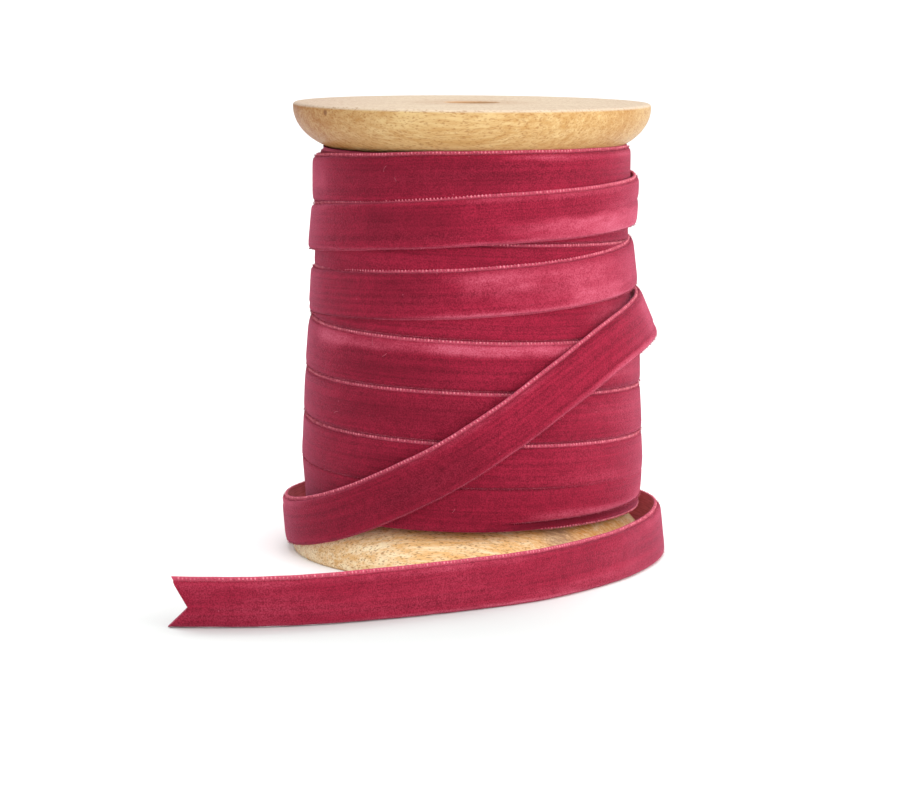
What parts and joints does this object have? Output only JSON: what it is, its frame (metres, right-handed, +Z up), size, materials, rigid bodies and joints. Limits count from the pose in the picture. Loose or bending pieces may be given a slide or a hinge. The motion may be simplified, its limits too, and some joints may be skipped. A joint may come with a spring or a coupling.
{
  "type": "velvet ribbon on wooden spool",
  "caption": "Narrow crimson velvet ribbon wound on a turned wooden spool, its loose end wrapped round the foot and laid out in front to a swallow-tail cut.",
  "frame": {"origin": "centre of the spool's foot, on the surface it stands on", "axes": "+Z up the spool's axis, -Y towards the viewer on the side where the loose end lies, +X to the viewer's right"},
  "size_m": [0.0951, 0.1195, 0.0925],
  "materials": {
    "wood": "satin",
    "velvet": "matte"
  },
  "bodies": {
    "root": {"spool_top_flange": "wood", "spool_barrel": "wood", "spool_bottom_flange": "wood", "ribbon_winding": "velvet", "ribbon_loose_end": "velvet"}
  },
  "joints": []
}
